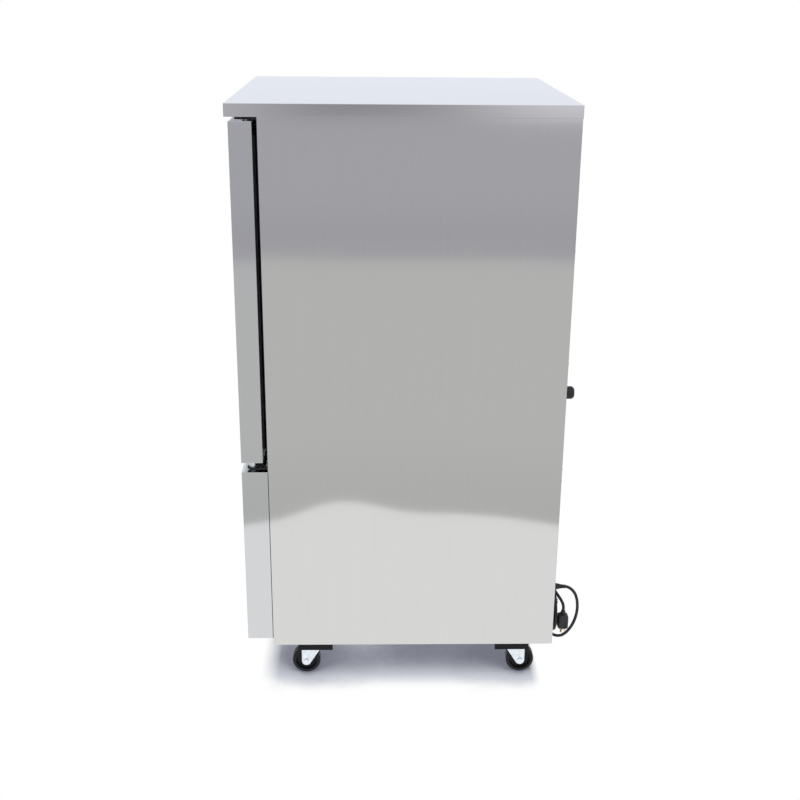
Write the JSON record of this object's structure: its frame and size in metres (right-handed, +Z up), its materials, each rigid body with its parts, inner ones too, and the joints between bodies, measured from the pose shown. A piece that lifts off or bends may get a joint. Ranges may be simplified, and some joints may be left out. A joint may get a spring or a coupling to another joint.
{
  "type": "blast chiller",
  "caption": "Free-standing stainless blast chiller on castors: insulated chamber with tray racks and fans behind a hinged door, machinery below.",
  "frame": {"origin": "on the floor under the middle of the cabinet's box, its mains lead left out", "axes": "+Z up, the door faces -Y, the door's hinges are at +X"},
  "size_m": [0.8, 0.8873, 1.5],
  "materials": {
    "brushed_steel": "satin",
    "inner_steel": "satin",
    "foam": "matte",
    "frame_plastic": "matte",
    "galvanised": "satin",
    "black_steel": "satin",
    "zinc": "satin",
    "control_plastic": "gloss",
    "display": "gloss",
    "key_plastic": "satin",
    "rubber": "matte",
    "wheel_rubber": "satin",
    "fin_aluminium": "satin",
    "motor_grey": "satin",
    "fan_plastic": "matte",
    "wire_chrome": "polished",
    "copper": "satin",
    "grey_plastic": "matte",
    "bush_plastic": "matte",
    "cord_black": "satin"
  },
  "bodies": {
    "cabinet": {"worktop": "brushed_steel", "right_side_panel": "brushed_steel", "left_side_panel": "brushed_steel", "rear_panel": "brushed_steel", "rear_grille": "brushed_steel", "lower_front_panel": "brushed_steel", "cavity_liner": "inner_steel", "fan_panel": "inner_steel", "left_tray_rack": "inner_steel", "right_tray_rack": "inner_steel", "drip_trays": "inner_steel", "insulation_foam": "foam", "door_frame_trim": "frame_plastic", "base_frame": "galvanised", "condenser_shroud": "galvanised", "electrical_box": "galvanised", "castor_brackets": "black_steel", "compressor": "black_steel", "liquid_receiver": "black_steel", "castor_plates": "zinc", "hinge_brackets": "zinc", "hinge_pins": "zinc", "control_panel": "control_plastic", "display_window": "display", "compressor_mounts": "rubber", "rear_spacers": "rubber", "condenser_coil": "fin_aluminium", "evaporator_coil": "fin_aluminium", "fan_motors": "motor_grey", "fan_guards": "wire_chrome", "cord_hook": "wire_chrome", "panel_screws": "wire_chrome", "refrigerant_pipes": "copper", "drain_fitting": "grey_plastic", "power_cord": "cord_black", "cord_coil": "cord_black", "cord_plug": "cord_black", "cord_gland": "cord_black"},
    "condenser_fan": {"condenser_fan_blade": "fan_plastic"},
    "upper_fan": {"upper_fan_blade": "fan_plastic"},
    "lower_fan": {"lower_fan_blade": "fan_plastic"},
    "first_key": {"key_1": "key_plastic"},
    "second_key": {"key_2": "key_plastic"},
    "third_key": {"key_3": "key_plastic"},
    "fourth_key": {"key_4": "key_plastic"},
    "door": {"door_skin": "brushed_steel", "door_foam": "foam", "door_liner": "inner_steel", "door_gasket": "rubber", "door_grip": "grey_plastic", "door_bushes": "bush_plastic"},
    "castor_front_right": {"fork_front_right": "zinc"},
    "roller_front_right": {"wheel_front_right": "wheel_rubber"},
    "castor_front_left": {"fork_front_left": "zinc"},
    "roller_front_left": {"wheel_front_left": "wheel_rubber"},
    "castor_rear_right": {"fork_rear_right": "zinc"},
    "roller_rear_right": {"wheel_rear_right": "wheel_rubber"},
    "castor_rear_left": {"fork_rear_left": "zinc"},
    "roller_rear_left": {"wheel_rear_left": "wheel_rubber"}
  },
  "joints": [
    {"name": "door_hinge", "type": "hinge", "parent": "cabinet", "child": "door", "pos_m": [0.375, -0.3845, 1.04], "axis": [0, 0, 1], "range_deg": [0, 110]},
    {"name": "condenser_fan_spin", "type": "hinge", "parent": "cabinet", "child": "condenser_fan", "pos_m": [0.14, -0.2095, 0.282], "axis": [0, 1, 0], "continuous": true},
    {"name": "upper_fan_spin", "type": "hinge", "parent": "cabinet", "child": "upper_fan", "pos_m": [0, 0.1245, 1.194], "axis": [0, 1, 0], "continuous": true},
    {"name": "lower_fan_spin", "type": "hinge", "parent": "cabinet", "child": "lower_fan", "pos_m": [0, 0.1245, 0.874], "axis": [0, 1, 0], "continuous": true},
    {"name": "first_key_press", "type": "slide", "parent": "cabinet", "child": "first_key", "axis": [0, 1, 0], "range_m": [0, 0.001], "stiffness_N_per_m": 400},
    {"name": "second_key_press", "type": "slide", "parent": "cabinet", "child": "second_key", "axis": [0, 1, 0], "range_m": [0, 0.001], "stiffness_N_per_m": 400},
    {"name": "third_key_press", "type": "slide", "parent": "cabinet", "child": "third_key", "axis": [0, 1, 0], "range_m": [0, 0.001], "stiffness_N_per_m": 400},
    {"name": "fourth_key_press", "type": "slide", "parent": "cabinet", "child": "fourth_key", "axis": [0, 1, 0], "range_m": [0, 0.001], "stiffness_N_per_m": 400},
    {"name": "swivel_front_right", "type": "hinge", "parent": "cabinet", "child": "castor_front_right", "pos_m": [0.355, -0.2345, 0.085], "axis": [0, 0, 1], "continuous": true},
    {"name": "roll_front_right", "type": "hinge", "parent": "castor_front_right", "child": "roller_front_right", "pos_m": [0.355, -0.2605, 0.0375], "axis": [1, 0, 0], "continuous": true},
    {"name": "swivel_front_left", "type": "hinge", "parent": "cabinet", "child": "castor_front_left", "pos_m": [-0.355, -0.2345, 0.085], "axis": [0, 0, 1], "continuous": true},
    {"name": "roll_front_left", "type": "hinge", "parent": "castor_front_left", "child": "roller_front_left", "pos_m": [-0.355, -0.2605, 0.0375], "axis": [1, 0, 0], "continuous": true},
    {"name": "swivel_rear_right", "type": "hinge", "parent": "cabinet", "child": "castor_rear_right", "pos_m": [0.355, 0.2885, 0.085], "axis": [0, 0, 1], "continuous": true},
    {"name": "roll_rear_right", "type": "hinge", "parent": "castor_rear_right", "child": "roller_rear_right", "pos_m": [0.355, 0.3145, 0.0375], "axis": [1, 0, 0], "continuous": true},
    {"name": "swivel_rear_left", "type": "hinge", "parent": "cabinet", "child": "castor_rear_left", "pos_m": [-0.355, 0.2885, 0.085], "axis": [0, 0, 1], "continuous": true},
    {"name": "roll_rear_left", "type": "hinge", "parent": "castor_rear_left", "child": "roller_rear_left", "pos_m": [-0.355, 0.3145, 0.0375], "axis": [1, 0, 0], "continuous": true}
  ]
}
